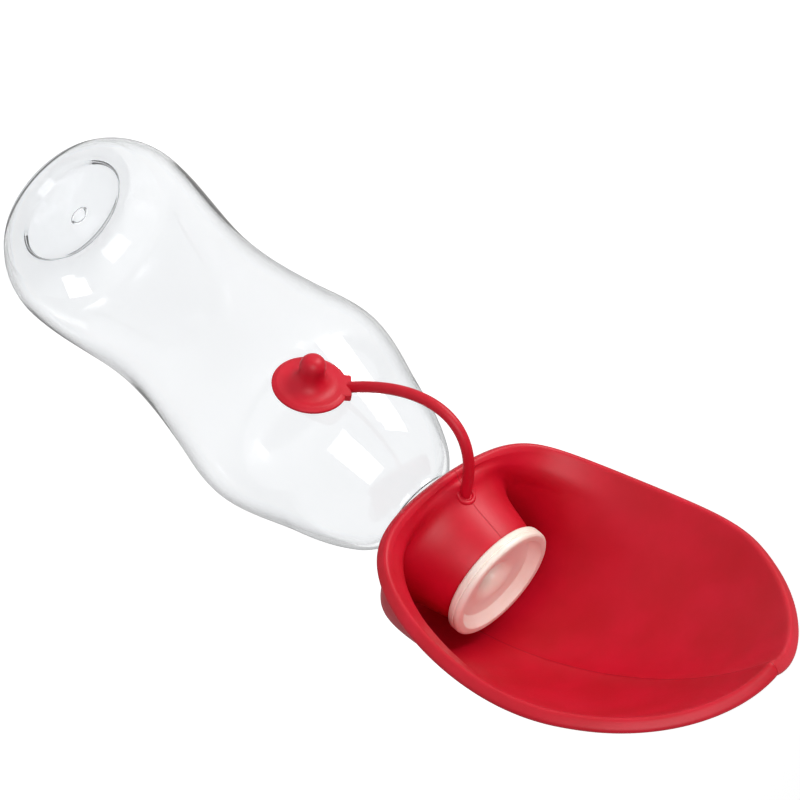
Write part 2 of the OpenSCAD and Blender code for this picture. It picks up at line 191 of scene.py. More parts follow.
@dataclass(frozen=True)
class Thread:
    """Right-hand thread of neck and nozzle: a helix about Z that starts at angle 0."""

    height: float = 1.0
    start: float = 184.6
    pitch: float = 4.0
    turns: float = 1.5
    foot: float = 1.7
    crest: float = 0.8
    run_out: float = 0.125

    def ridge(self, rings: np.ndarray) -> np.ndarray:
        """Height of the thread at each point of the wall that carries it.

        It is full within crest / 2 of the helix along Z, falls smoothly to 0 at foot / 2, and fades at both
        ends, over the share run_out of its length.

        Args:
            rings: points on the wall.

        Returns:
            A height for each point.
        """
        angle = np.arctan2(rings[..., 1], rings[..., 0]) % TURN
        share = np.zeros(rings.shape[:2])
        for lap in range(math.ceil(self.turns) + 1):
            done = (angle / TURN + lap) / self.turns
            away = np.abs(rings[..., 2] - self.start - self.pitch * self.turns * done)
            tooth = smooth((self.foot / 2 - away) / ((self.foot - self.crest) / 2))
            fade = np.clip(done / self.run_out, 0, 1) * np.clip((1 - done) / self.run_out, 0, 1)
            share = np.maximum(share, tooth * fade)
        return self.height * share


class Ends(Enum):
    """How a stack of rings is closed."""

    WRAP = "the last ring joins the first"
    FAN = "each end ring is filled by a fan about its middle"


def placed(name: str, data: bpy.types.ID, matrix: Matrix | None = None) -> bpy.types.Object:
    """Puts a mesh, lamp or camera into the scene, at the origin unless a matrix says where."""
    made = bpy.data.objects.new(name, data)
    made.matrix_world = matrix or Matrix()
    bpy.context.scene.collection.objects.link(made)
    return made


def closed_object(name: str, rings: np.ndarray, ends: Ends, sharp_deg: float = 45.0) -> bpy.types.Object:
    """Mesh object of a closed stack of rings, with its faces outward.

    Neighbouring points of neighbouring rings make quads. The signed volume, a sixth of the sum of
    a . (b x c) over the triangles, says whether the faces have to be turned round.

    Args:
        name: name of the object.
        rings: array of rings, points round the ring and coordinates, in millimetres.
        ends: how the stack is closed.
        sharp_deg: an edge that turns by more than this stays sharp.

    Returns:
        The object, at the origin, with its place in its mesh.
    """
    rows, columns, _ = rings.shape
    points = rings.reshape(-1, 3) * MM
    last = rows if ends is Ends.WRAP else rows - 1
    i, j = np.arange(last)[:, None], np.arange(columns)[None, :]
    above, beside = (i + 1) % rows * columns, (j + 1) % columns
    i = i * columns
    quads = np.stack([i + j, i + beside, above + beside, above + j], axis=-1).reshape(-1, 4)
    fans = np.empty((0, 3), int)
    if ends is Ends.FAN:
        middle = len(points)
        points = np.vstack([points, rings[0].mean(0) * MM, rings[-1].mean(0) * MM])
        here, following = np.arange(columns), (np.arange(columns) + 1) % columns
        top = (rows - 1) * columns
        first_fan = np.stack([np.full(columns, middle), following, here], axis=1)
        last_fan = np.stack([np.full(columns, middle + 1), top + here, top + following], axis=1)
        fans = np.vstack([first_fan, last_fan])
    triangles = np.vstack([quads[:, [0, 1, 2]], quads[:, [0, 2, 3]], fans])
    a, b, c = (points[triangles[:, k]] for k in range(3))
    if float((a * np.cross(b, c)).sum()) < 0:
        quads, fans = quads[:, ::-1], fans[:, ::-1]
    mesh = bpy.data.meshes.new(name)
    mesh.from_pydata(points.tolist(), [], quads.tolist() + fans.tolist())
    mesh.polygons.foreach_set("use_smooth", np.ones(len(mesh.polygons), bool))
    mesh.set_sharp_from_angle(angle=math.radians(sharp_deg))
    mesh.update()
    return placed(name, mesh)


# ---- Shader expressions ----
class Value:
    """A number socket that Python sums work on: each operator adds its own Math node."""

    def __init__(self, shader: "Shader", socket: bpy.types.NodeSocket) -> None:
        """Keeps the shader that the socket belongs to, and the socket."""
        self.shader = shader
        self.socket = socket

    def math(self, operation: str, *others: "Value | float", swap: bool = False) -> "Value":
        """Adds a Math node.

        Args:
            operation: the node's operation, such as MULTIPLY.
            others: its further inputs.
            swap: puts this value second, for reflected operators.

        Returns:
            The node's result.
        """
        terms = [self, *others]
        if swap:
            terms = [others[0], self]
        node = self.shader.node("ShaderNodeMath", {"operation": operation}, dict(enumerate(terms)))
        return Value(self.shader, node.outputs[0])

    def __add__(self, other: "Value | float") -> "Value":
        """Sum."""
        return self.math("ADD", other)

    __radd__ = __add__

    def __mul__(self, other: "Value | float") -> "Value":
        """Product."""
        return self.math("MULTIPLY", other)

    __rmul__ = __mul__

    def __sub__(self, other: "Value | float") -> "Value":
        """Difference."""
        return self.math("SUBTRACT", other)

    def __rsub__(self, other: float) -> "Value":
        """Difference with this value second."""
        return self.math("SUBTRACT", other, swap=True)

    def __truediv__(self, other: "Value | float") -> "Value":
        """Quotient."""
        return self.math("DIVIDE", other)

    def __pow__(self, other: "Value | float") -> "Value":
        """Power."""
        return self.math("POWER", other)

    def __abs__(self) -> "Value":
        """Size without its sign."""
        return self.math("ABSOLUTE")

    def between(self, low: float, high: float) -> "Value":
        """0 below low, 1 above high and a smooth step between them."""
        node = self.shader.node(
            "ShaderNodeMapRange",
            {"interpolation_type": "SMOOTHSTEP"},
            {"Value": self, "From Min": low, "From Max": high},
        )
        return Value(self.shader, node.outputs["Result"])


class Shader:
    """A material under construction, with one method that adds any node."""

    def __init__(self, tree: bpy.types.NodeTree) -> None:
        """Starts from an empty node tree."""
        self.tree = tree
        tree.nodes.clear()

    def node(self, kind: str, settings: dict | None = None, inputs: dict | None = None) -> bpy.types.Node:
        """Adds a node.

        Args:
            kind: the node's type.
            settings: its properties, set before its sockets; "stops" gives a colour ramp's (place, colour).
            inputs: a value, a Value or a socket for each input, by name or number.

        Returns:
            The node.
        """
        made = self.tree.nodes.new(kind)
        for key, value in (settings or {}).items():
            if key != "stops":
                setattr(made, key, value)
                continue
            ramp = made.color_ramp
            while len(ramp.elements) < len(value):
                ramp.elements.new(0.5)
            for element, (place, colour) in zip(ramp.elements, value):
                element.position = place
                element.color = colour
        for key, value in (inputs or {}).items():
            socket = made.inputs[key]
            if isinstance(value, Value):
                self.tree.links.new(value.socket, socket)
            elif isinstance(value, bpy.types.NodeSocket):
                self.tree.links.new(value, socket)
            else:
                socket.default_value = value
        return made

    def value(self, node: bpy.types.Node, output: str | int = 0) -> Value:
        """One of a node's outputs as a value."""
        return Value(self, node.outputs[output])

    def place(self) -> tuple[bpy.types.NodeSocket, Value, Value, Value]:
        """The point on the object, in metres, as a vector and as its three coordinates."""
        coordinates = self.node("ShaderNodeTexCoord").outputs["Object"]
        split = self.node("ShaderNodeSeparateXYZ", inputs={0: coordinates})
        return coordinates, self.value(split, "X"), self.value(split, "Y"), self.value(split, "Z")

    def noise(self, where: bpy.types.NodeSocket, kind: tuple[float, float, float]) -> Value:
        """Noise between 0 and 1; its kind is the size of its features in millimetres, detail and roughness."""
        size, detail, rough = kind
        inputs = {"Vector": where, "Scale": 1.0 / (size * MM), "Detail": detail, "Roughness": rough}
        return self.value(self.node("ShaderNodeTexNoise", {"noise_dimensions": "3D"}, inputs), "Fac")

    def blend(self, share: Value | float, first: "Paint", second: "Paint") -> bpy.types.NodeSocket:
        """The colour that goes from first to second with share."""
        made = self.node("ShaderNodeMix", {"data_type": "RGBA"}, {0: share, 6: first, 7: second})
        return made.outputs[2]

    def bump(self, height: Value, depth: float, strength: float = 1.0) -> bpy.types.NodeSocket:
        """Normal of a surface raised by height times depth millimetres."""
        inputs = {"Strength": strength, "Distance": depth * MM, "Height": height}
        return self.node("ShaderNodeBump", inputs=inputs).outputs["Normal"]

    def principled(self, inputs: dict) -> bpy.types.Node:
        """Principled surface joined to the material's output."""
        surface = self.node("ShaderNodeBsdfPrincipled", inputs=inputs)
        self.node("ShaderNodeOutputMaterial", inputs={"Surface": surface.outputs[0]})
        return surface


Paint = tuple | bpy.types.NodeSocket


def material(name: str) -> tuple[bpy.types.Material, Shader]:
    """A new material and the shader that fills it."""
    made = bpy.data.materials.new(name)
    made.use_nodes = True
    return made, Shader(made.node_tree)


def colour(red: int, green: int, blue: int) -> tuple[float, float, float, float]:
    """A colour written as the eight-bit numbers of a screen, as linear light."""
    screen = np.array([red, green, blue]) / 255.0
    linear = np.where(screen <= 0.04045, screen / 12.92, ((screen + 0.055) / 1.055) ** 2.4)
    return (*linear.tolist(), 1.0)


def finished(
    piece: bpy.types.Object, coat: bpy.types.Material, body: str = "", solid: str = ""
) -> None:
    """Gives a piece its finish, the one body that it rides on and the solid that it stands for.

    Args:
        piece: the piece.
        coat: its material.
        body: the body that it rides on, or nothing for a piece that is left unattached.
        solid: the node that it replaces, or nothing.
    """
    piece.data.materials.append(coat)
    if body:
        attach(piece, body)
    if solid:
        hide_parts(solid)
    log.info("%s: %d faces", piece.name, len(piece.data.polygons))


# ---- Finishes ----
@dataclass(frozen=True)
class Silicone:
    """Red silicone rubber: a soft satin skin with a faint mottle, moulding grain and a parting line, a shallow
    groove darkened with painted shade.
    """

    body: tuple = colour(202, 8, 40)
    deep: tuple = colour(190, 5, 30)
    bloom: tuple = colour(210, 22, 54)
    roughness: float = 0.46
    specular: float = 0.38
    mottle: tuple = (16.0, 4.0, 0.55)
    cloud: tuple = (45.0, 2.0, 0.5)
    grain: tuple = (0.55, 3.0, 0.6)
    # Painted shade along the parting line's groove: its dark colour and how much of it is mixed in.
    seam_shade_colour: tuple = colour(120, 8, 20)
    seam_shade_share: float = 0.42
    seam_depth: float = 2.2
    seam_from: float = 0.04
    seam_to: float = 0.256

    def make(self, name: str, seam: bool) -> bpy.types.Material:
        """Makes the material.

        Args:
            name: the material's name.
            seam: whether a parting line, a groove darkened with painted shade, runs along the plane y = 0.

        Returns:
            The material.
        """
        made, shader = material(name)
        where, _, y, _ = shader.place()
        mottle, cloud, grain = (shader.noise(where, kind) for kind in (self.mottle, self.cloud, self.grain))
        base = shader.blend(mottle.between(0.3, 0.75), self.deep, self.body)
        base = shader.blend(cloud.between(0.52, 0.8) * 0.3, base, self.bloom)
        height = grain * 0.35 + mottle * 0.4
        rough = self.roughness + (grain - 0.5) * 0.14 + (cloud - 0.5) * 0.12
        if seam:
            # The parting line: a groove in the bump, and painted shade that darkens the base colour along it.
            line = 1 - abs(y).between(self.seam_from * MM, self.seam_to * MM)
            base = shader.blend(line * self.seam_shade_share, base, self.seam_shade_colour)
            height = height - line * self.seam_depth
        shader.principled(
            {
                "Base Color": base,
                "Roughness": rough,
                "Specular IOR Level": self.specular,
                "Subsurface Weight": 0.06,
                "Subsurface Radius": (1.0, 0.25, 0.2),
                "Subsurface Scale": 0.0015,
                "Normal": shader.bump(height, 0.06, 0.55),
            }
        )
        return made


@dataclass(frozen=True)
class CreamPlastic:
    """Cream moulded plastic: satin, with a faint warm mottle and fine texture."""

    body: tuple = colour(246, 240, 230)
    warm: tuple = colour(238, 222, 206)
    roughness: float = 0.32
    mottle: tuple = (9.0, 3.0, 0.5)
    grain: tuple = (0.4, 2.0, 0.5)

    def make(self, name: str) -> bpy.types.Material:
        """Makes the material under the given name."""
        made, shader = material(name)
        where = shader.place()[0]
        mottle, grain = shader.noise(where, self.mottle), shader.noise(where, self.grain)
        base = shader.blend(mottle.between(0.35, 0.75) * 0.6, self.body, self.warm)
        shader.principled(
            {
                "Base Color": base,
                "Roughness": self.roughness + (grain - 0.5) * 0.12,
                "Subsurface Weight": 0.08,
                "Subsurface Radius": (1.0, 0.7, 0.5),
                "Subsurface Scale": 0.001,
                "Coat Weight": 0.08,
                "Coat Roughness": 0.2,
                "Normal": shader.bump(grain * 0.5 + mottle * 0.5, 0.03, 0.5),
            }
        )
        return made


@dataclass(frozen=True)
class ClearPlastic:
    """Clear blown plastic: glossy, with fine scuffs, and painted shade that greys it where it is seen edge on,
    standing in for darker surroundings refracted and reflected at its edges.
    """

    body: tuple = colour(249, 250, 251)
    # Painted shade: the grey that the plastic is given where it is seen edge on.
    edge: tuple = colour(108, 114, 120)
    index: float = 1.5
    roughness: float = 0.015
    scuff: tuple = (5.0, 5.0, 0.65)
    flow: tuple = (24.0, 2.0, 0.4)

    def make(self, name: str) -> bpy.types.Material:
        """Makes the material under the given name."""
        made, shader = material(name)
        where = shader.place()[0]
        scuff, flow = shader.noise(where, self.scuff), shader.noise(where, self.flow)
        facing = shader.value(shader.node("ShaderNodeLayerWeight", inputs={"Blend": 0.35}), "Facing")
        # Painted shade: the base colour goes grey towards the edges, where the surface is seen edge on.
        tint = shader.blend((facing**1.8).between(0.2, 0.95), self.body, self.edge)
        shader.principled(
            {
                "Base Color": tint,
                "Roughness": self.roughness + scuff.between(0.62, 0.8) * 0.05,
                "IOR": self.index,
                "Transmission Weight": 1.0,
                "Normal": shader.bump(flow, 0.12, 0.35),
            }
        )
        return made


@dataclass(frozen=True)
class SealRubber:
    """Soft white rubber of the flat neck seal."""

    body: tuple = colour(226, 224, 218)
    dull: tuple = colour(206, 203, 195)
    roughness: float = 0.6
    grain: tuple = (0.6, 3.0, 0.5)

    def make(self, name: str) -> bpy.types.Material:
        """Makes the material under the given name."""
        made, shader = material(name)
        grain = shader.noise(shader.place()[0], self.grain)
        base = shader.blend(grain.between(0.3, 0.8) * 0.5, self.body, self.dull)
        shader.principled(
            {"Base Color": base, "Roughness": self.roughness, "Normal": shader.bump(grain, 0.03, 0.5)}
        )
        return made


@dataclass(frozen=True)
class FloorPaint:
    """Pale floor with its shadows: white to the camera and a shade less through clear plastic."""

    body: tuple = (0.82, 0.82, 0.82, 1.0)
    lift: float = 0.76
    lift_through: float = 0.6

    def make(self, name: str) -> bpy.types.Material:
        """Makes the material under the given name."""
        made, shader = material(name)
        path = shader.node("ShaderNodeLightPath")
        seen = shader.value(path, "Is Camera Ray") * self.lift
        through = shader.value(path, "Is Transmission Ray") * self.lift_through
        paint = shader.node("ShaderNodeBsdfDiffuse", inputs={"Color": self.body})
        glow = shader.node("ShaderNodeEmission", inputs={"Strength": seen + through})
        both = shader.node("ShaderNodeAddShader", inputs={0: paint.outputs[0], 1: glow.outputs[0]})
        shader.node("ShaderNodeOutputMaterial", inputs={"Surface": both.outputs[0]})
        return made


# ---- Bottle ----
@dataclass
class Bottle:
    """Blown squeeze bottle: bulging base, waist, shoulder, threaded neck; sizes as in the part."""

    bulge: tuple[float, float] = (36.0, 20.0)
    turn_r: float = 28.0
    waist: tuple[float, float] = (31.0, 66.0)
    flare: tuple[float, float] = (34.7, 98.0)
    shoulder: tuple[float, float] = (38.0, 118.0)
    cone: tuple[float, float] = (30.0, 148.0)
    throat: tuple[float, float] = (21.8, 167.0)
    slopes: tuple[float, ...] = (0.0, 0.0, 0.19, 0.0, -0.29, -0.65, 0.0)
    body_wall: float = 0.9
    neck_wall: float = 1.9
    stand: tuple[float, float] = (21.0, 26.5)
    panel_r: float = 19.8
    panel_z: tuple[float, float] = (5.6, 2.8)
    gate: tuple[float, float] = (3.1, 0.5)
    neck_r: float = 14.1
    neck_z: tuple[float, float] = (177.0, 201.0)
    flange: tuple[float, float, float] = (16.8, 177.4, 179.0)
    thread: Thread = Thread()
    first_z: float = 1.2
    columns: int = 180
    body_rows: int = 150
    inner_rows: int = 135
    inner_foot_z: float = 3.4
    neck_step: float = 0.4
    wave: float = 0.07
    waves: tuple = ((1.0, 3, 17, 0.0), (0.6, 5, -11, 1.3), (0.5, 2, 29, 0.0))
    wave_from: tuple[float, float] = (14.0, 160.0)
    wave_fade: float = 14.0

    def outer_radius(self, z: np.ndarray) -> np.ndarray:
        """Outer radius at height z.

        Below the bulge it is an arc, r = R - T + sqrt(T^2 - (bulge height - z)^2). Above it, neighbouring
        stations are joined by the cubic that has their radii and slopes.

        Args:
            z: heights.

        Returns:
            The radius at each height.
        """
        stations = [self.bulge, self.waist, self.flare, self.shoulder, self.cone, self.throat]
        radius = np.array([r for r, _ in stations] + [self.neck_r])
        height = np.array([h for _, h in stations] + [self.neck_z[0]])
        slope = np.array(self.slopes)
        i = np.clip(np.searchsorted(height, z) - 1, 0, len(height) - 2)
        span = height[i + 1] - height[i]
        t = np.clip((z - height[i]) / span, 0, 1)
        cubic = (2 * t**3 - 3 * t**2 + 1) * radius[i] + (t**3 - 2 * t**2 + t) * span * slope[i]
        cubic = cubic + (3 * t**2 - 2 * t**3) * radius[i + 1] + (t**3 - t**2) * span * slope[i + 1]
        below = np.clip(self.bulge[1] - z, 0, self.turn_r)
        arc = self.bulge[0] - self.turn_r + np.sqrt(self.turn_r**2 - below**2)
        return np.where(z < self.bulge[1], arc, cubic)

    def level_wall(self, z: np.ndarray) -> np.ndarray:
        """Wall measured level at height z: the wall times sqrt(1 + slope^2), thicker towards the neck."""
        rise = np.clip((z - self.cone[1]) / (self.neck_z[0] - self.cone[1]), 0, 1)
        slope = (self.outer_radius(z + 0.1) - self.outer_radius(z - 0.1)) / 0.2
        return mix(self.body_wall, self.neck_wall, rise) * np.sqrt(1 + slope**2)

    def outer_outline(self) -> np.ndarray:
        """Outline of the outside, from the middle of the base panel up to the top of the neck."""
        crown, edge = self.panel_z
        r = np.linspace(0.25, self.panel_r, 64)
        gate_ridge = self.gate[1] * np.exp(-(((r - self.gate[0]) / 0.36) ** 2))
        panel = np.stack([r, crown - (crown - edge) * (r / self.panel_r) ** 2 - gate_ridge], axis=1)
        foot_r = float(self.outer_radius(np.array(self.first_z)))
        ring = rounded(
            [
                (*panel[-1], 0.0),
                (self.stand[0] - 0.6, 0.9, 0.7),
                (self.stand[0] + 0.6, 0.0, 1.2),
                (self.stand[1], 0.0, 1.6),
                (foot_r, self.first_z, 0.0),
            ]
        )
        z = np.linspace(self.first_z, self.neck_z[0], self.body_rows)
        body = np.stack([self.outer_radius(z), z], axis=1)
        flange_r, low, high = self.flange
        neck = rounded(
            [
                (self.neck_r, self.neck_z[0], 0.0),
                (self.neck_r, low, 0.3),
                (flange_r, low, 0.4),
                (flange_r, high, 0.4),
                (self.neck_r, high, 0.5),
                (self.neck_r, self.neck_z[1], 0.45),
                (self.neck_r - self.neck_wall, self.neck_z[1], 0.45),
                (self.neck_r - self.neck_wall, self.neck_z[1] - 2.0, 0.0),
            ]
        )
        return np.vstack([panel, ring[1:], body[1:], densified(neck, self.neck_step)[1:]])

    def inner_outline(self) -> np.ndarray:
        """Outline of the inside, from the neck down to the middle of the base panel."""
        z = np.linspace(self.neck_z[0], self.inner_foot_z, self.inner_rows)
        wall = np.stack([self.outer_radius(z) - self.level_wall(z), z], axis=1)
        crown, edge = self.panel_z
        w = self.body_wall
        ring = rounded(
            [
                (*wall[-1], 0.0),
                (self.stand[1] - 0.2, w, 1.8),
                (self.stand[0] + 0.9, w, 1.2),
                (self.panel_r - 0.4, edge + w, 0.6),
                (self.panel_r - 1.0, edge + w + 0.15, 0.0),
            ]
        )
        r = np.linspace(self.panel_r - 1.0, 0.25, 40)
        panel = np.stack([r, crown - (crown - edge) * (r / self.panel_r) ** 2 + w], axis=1)
        return np.vstack([wall, ring[1:], panel[1:]])

    def build(self) -> bpy.types.Object:
        """Makes the bottle as one closed skin, inside and out, with its thread and a slightly uneven wall.

        The unevenness is a sum of waves, height times sin(folds angle + z / length + start), on the inside.

        Returns:
            The bottle's object.
        """
        outer = revolved(self.outer_outline(), self.columns)
        on_wall = np.abs(np.hypot(outer[..., 0], outer[..., 1]) - self.neck_r) < ON_WALL
        outer[..., :2] *= (1 + self.thread.ridge(outer) * on_wall / self.neck_r)[..., None]
        inner = revolved(self.inner_outline(), self.columns)
        angle = np.linspace(0, TURN, self.columns, endpoint=False)
        z, reach = inner[..., 2], np.hypot(inner[..., 0], inner[..., 1])
        ripple = sum(high * np.sin(folds * angle + z / long + late) for high, folds, long, late in self.waves)
        low, top = ((z - start) / self.wave_fade for start in self.wave_from)
        uneven = self.wave * ripple * smooth(low) * (1 - smooth(top))
        inner[..., :2] *= (1 + uneven / np.maximum(reach, 1))[..., None]
        return closed_object("clear_bottle", np.concatenate([outer, inner]), Ends.FAN, 38.0)

    def dress(self, finish: ClearPlastic) -> None:
        """Builds the bottle, gives it its finish and puts it in the place of its solid."""
        finished(self.build(), finish.make("clear_blown_plastic"), "bottle", "bottle")


# ---- Pour nozzle and seal ----
@dataclass
class PourNozzle:
    """Screw-on head: threaded skirt, web with the outlet, dish and round pouring lip."""

    skirt_r: float = 17.6
    skirt_inner_r: float = 15.5
    skirt_z: float = 180.6
    groove_r: float = 16.2
    groove_w: float = 4.0
    lip_r: float = 19.6
    lip_z: tuple[float, float] = (207.8, 212.3)
    lip_round: float = 1.25
    line_depth: float = 0.32
    web: tuple[float, float] = (202.6, 209.1)
    dish_r: float = 14.2
    outlet_r: float = 4.05
    outlet_round: float = 5.0
    thread: Thread = Thread()
    gate_mark: tuple[float, float, float] = (17.0, 210.6, 0.35)
    gate_size: tuple[float, float] = (2.1, 0.75)
    columns: int = 192

    def outline(self) -> np.ndarray:
        """Closed outline, from the skirt's inner corner up the outside, over the lip and down inside."""
        low, high = self.lip_z
        middle = (low + high) / 2 + 0.35
        bottom, top = self.web
        mouth_r = self.outlet_r + self.outlet_round
        corners = [
            (self.skirt_inner_r, self.skirt_z + 3, 0.0),
            (self.skirt_inner_r, self.skirt_z, 0.5),
            (self.skirt_r, self.skirt_z, 0.5),
            (self.skirt_r, low - self.groove_w, 0.3),
            (self.groove_r, low - self.groove_w, 0.2),
            (self.groove_r, low, 0.2),
            (self.lip_r, low, self.lip_round),
            (self.lip_r, middle - self.line_depth, 0.06),
            (self.lip_r - self.line_depth, middle, 0.06),
            (self.lip_r, middle + self.line_depth, 0.06),
            (self.lip_r, high, self.lip_round),
            (self.dish_r + 2.6, high, 0.5),
            (self.dish_r + 1.4, high - 1.6, 0.8),
            (self.dish_r, top, 0.7),
            (mouth_r + 0.02, top, 0.0),
        ]
        outside = rounded(corners)
        angle = np.radians(np.linspace(90, 180, 20))
        curl = self.outlet_round * np.stack([np.cos(angle), np.sin(angle)], axis=1)
        flare = curl + np.array([mouth_r, top - self.outlet_round])
        inside = rounded(
            [
                (self.outlet_r, top - self.outlet_round - 0.02, 0.0),
                (self.outlet_r, bottom, 0.3),
                (self.skirt_inner_r, bottom, 0.6),
                (self.skirt_inner_r, self.skirt_z + 3.2, 0.0),
            ]
        )
        return np.vstack([outside[:-1], flare, inside])

    def build(self) -> bpy.types.Object:
        """Makes the nozzle as one closed skin, with its inner thread and the small gate mark on its lip.

        Returns:
            The nozzle's object.
        """
        rings = revolved(densified(self.outline(), 0.3), self.columns)
        reach = np.hypot(rings[..., 0], rings[..., 1])
        ridge = self.thread.ridge(rings * np.array([-1.0, -1.0, 1.0]))
        inside = (np.abs(reach - self.skirt_inner_r) < ON_WALL) & (rings[..., 2] < self.web[0] - 1)
        towards, height, depth = self.gate_mark
        angle = np.arctan2(rings[..., 1], rings[..., 0]) - math.radians(towards)
        half_w, half_h = self.gate_size
        along = np.arctan2(np.sin(angle), np.cos(angle)) * self.lip_r / half_w
        dimple = np.exp(-((along**2 + ((rings[..., 2] - height) / half_h) ** 2) ** 2))
        change = -ridge * inside - dimple * depth * (reach > self.lip_r - 0.6)
        rings[..., :2] *= (1 + change / reach)[..., None]
        return closed_object("pouring_lip", rings, Ends.WRAP, 40.0)

    def dress(self, finish: CreamPlastic) -> None:
        """Builds the nozzle, gives it its finish and puts it in the place of its solid."""
        finished(self.build(), finish.make("cream_plastic"), "head", "pour_nozzle")


# ---- Leaf bowl ----
@dataclass
class LeafBowl:
    """Soft bowl: a collar round the nozzle that turns outwards and rises to a leaf-shaped rolled rim."""

    collar_end_r: float = 16.925
    collar_end_z: float = 207.45
    collar_end_t: float = 1.35
    root_r: float = 23.4
    root_z: float = 189.4
    wall: float = 2.4
    rim_t: float = 4.2
    rim_square: float = 0.55
    leaf_length: float = 116.0
    leaf_half_w: float = 49.6
    rim_dip: float = 15.3
    spout_dip: float = 12.6
    lean_deg: float = 12.8
    root_start: tuple[float, float] = (0.82, -0.57)
    root_reach: tuple[float, float] = (9.0, 28.5)
    rim_share: tuple[float, float, float] = (0.2, 0.46, 0.6)
    side_turn: tuple[float, float] = (0.12, 0.57)
    root_pull: float = 5.7
    lean_turn: float = 0.6
    rear_lean: float = 0.75
    side_lean: float = 0.85
    egg_power: tuple[float, float] = (5.4, 1.57)
    egg_turn: tuple[float, float] = (16.0, 107.0)
    spout_turn: tuple[float, float] = (45.0, 65.0)
    spout_sharp: float = 2.1
    rear_out: float = 2.1
    rear_drop: float = 3.9
    collar_flare: tuple[float, float] = (2.6, -5.55)
    collar_swell: tuple[float, float] = (0.2, 0.5)
    rim_swell: tuple[float, float] = (1.82, 0.18)
    inner_swell: tuple[float, float] = (1.5, 0.5)
    crowding: float = 0.22
    roll_steps: int = 24
    boss_r: float = 2.75
    boss_t: float = 0.75
    foot_rise: float = 1.5
    around: int = 300
    collar_rows: int = 42
    wall_rows: int = 84

    def axes(self) -> tuple[np.ndarray, np.ndarray, np.ndarray]:
        """Unit vectors along the leaf, across it and square to the rim, out of the bowl."""
        lean = math.radians(self.lean_deg)
        along = np.array([math.sin(lean), 0.0, math.cos(lean)])
        above = np.array([math.cos(lean), 0.0, -math.sin(lean)])
        return along, np.array([0.0, 1.0, 0.0]), above

    def rim(self, theta: np.ndarray, sharp: bool) -> np.ndarray:
        """Middle of the rim at angle theta.

        Seen square to the rim it is an egg: half width W sin(theta), and forward travel
        L/2 (1 - f) with f = +-sqrt(1 - |sin|^p), where p falls from rear to tip. The sides dip with sin^2,
        and with sharp they turn up to the tip as 1 - exp(-k |sin|).

        Args:
            theta: angles in radians, 0 at the rear of the rim and pi at its tip.
            sharp: whether the tip is drawn up into a small spout.

        Returns:
            A point for each angle.
        """
        along, side, above = self.axes()
        s = np.sin(theta)
        turn = np.degrees(np.where(theta <= np.pi, theta, 2 * np.pi - theta))
        power = mix(*self.egg_power, smooth((turn - self.egg_turn[0]) / self.egg_turn[1]))
        forward = np.sqrt(np.maximum(0, 1 - np.abs(s) ** power)) * np.where(turn < 90, 1, -1)
        spout = smooth((turn - self.spout_turn[0]) / self.spout_turn[1]) * sharp
        pointed = self.spout_dip * (1 - np.exp(-self.spout_sharp * np.abs(s)))
        dip = mix(self.rim_dip * s**2, pointed, spout)[..., None]
        rear = np.array([self.root_r + self.rear_out, 0.0, self.root_z - self.rear_drop])
        travel = (self.leaf_length / 2 * (1 - forward))[..., None]
        return rear + travel * along + (self.leaf_half_w * s)[..., None] * side - dip * above

    def skin(self, theta: np.ndarray, v: np.ndarray) -> np.ndarray:
        """Middle surface of the skin.

        For v from 0 to 1 a Bezier curve turned about Z makes the collar. For v from 1 to 2 a Bezier curve
        in space leaves the collar's root outwards and reaches the rim with its lean.

        Args:
            theta: angles in radians.
            v: places from the collar's end to the rim, of the same shape as theta.

        Returns:
            A point for each pair.
        """
        along, side, above = self.axes()
        c, s = np.cos(theta), np.sin(theta)
        flat = np.stack([c, s, 0 * c], axis=-1)
        rise = np.array([0.0, 0.0, 1.0])
        end, foot = np.array([self.collar_end_r, self.collar_end_z]), np.array([self.root_r, self.root_z])
        pulled = foot - self.root_pull * np.array(self.root_start)
        line = bezier([end, end + np.array(self.collar_flare), pulled, foot], np.clip(v, 0, 1))
        collar = line[..., :1] * flat + line[..., 1:] * rise
        root = self.root_r * flat + self.root_z * rise
        low_rim = self.rim(theta, sharp=False)
        reach = np.linalg.norm(low_rim - root, axis=-1, keepdims=True)
        turned = (1 - c[..., None]) / 2
        away = self.root_start[0] * flat + self.root_start[1] * rise
        leave = root + np.minimum(mix(*self.root_reach, turned**1.5), 0.3 * reach) * away
        out = -c[..., None] * along + s[..., None] * side
        lean = mix(self.rear_lean, self.side_lean, smooth(turned / self.lean_turn))
        low, high = self.side_turn
        beside = smooth((turned - low) / (high - low))
        share = mix(mix(*self.rim_share[:2], beside), self.rim_share[2], turned**3)
        arrive = low_rim - share * reach * unit(above + lean * out)
        wall = bezier([root, leave, arrive, self.rim(theta, sharp=True)], np.clip(v - 1, 0, 1))
        return np.where((v <= 1)[..., None], collar, wall)

    def normal(self, theta: np.ndarray, v: np.ndarray) -> np.ndarray:
        """Normal of the skin, into the bowl: the cross product of its two slopes."""
        e = 0.02
        around = self.skin(theta + 0.01, v) - self.skin(theta - 0.01, v)
        down = self.skin(theta, np.minimum(2, v + e)) - self.skin(theta, np.maximum(0, v - e))
        return unit(np.cross(down, around))

    def thickness(self, v: np.ndarray) -> np.ndarray:
        """Thickness of the skin: thin at the collar's end, even in the wall, swelling into the rim."""
        collar, rim = (np.clip((v - low) / span, 0, 1) for low, span in (self.collar_swell, self.rim_swell))
        return np.where(v <= 1, mix(self.collar_end_t, self.wall, collar), mix(self.wall, self.rim_t, rim**2))

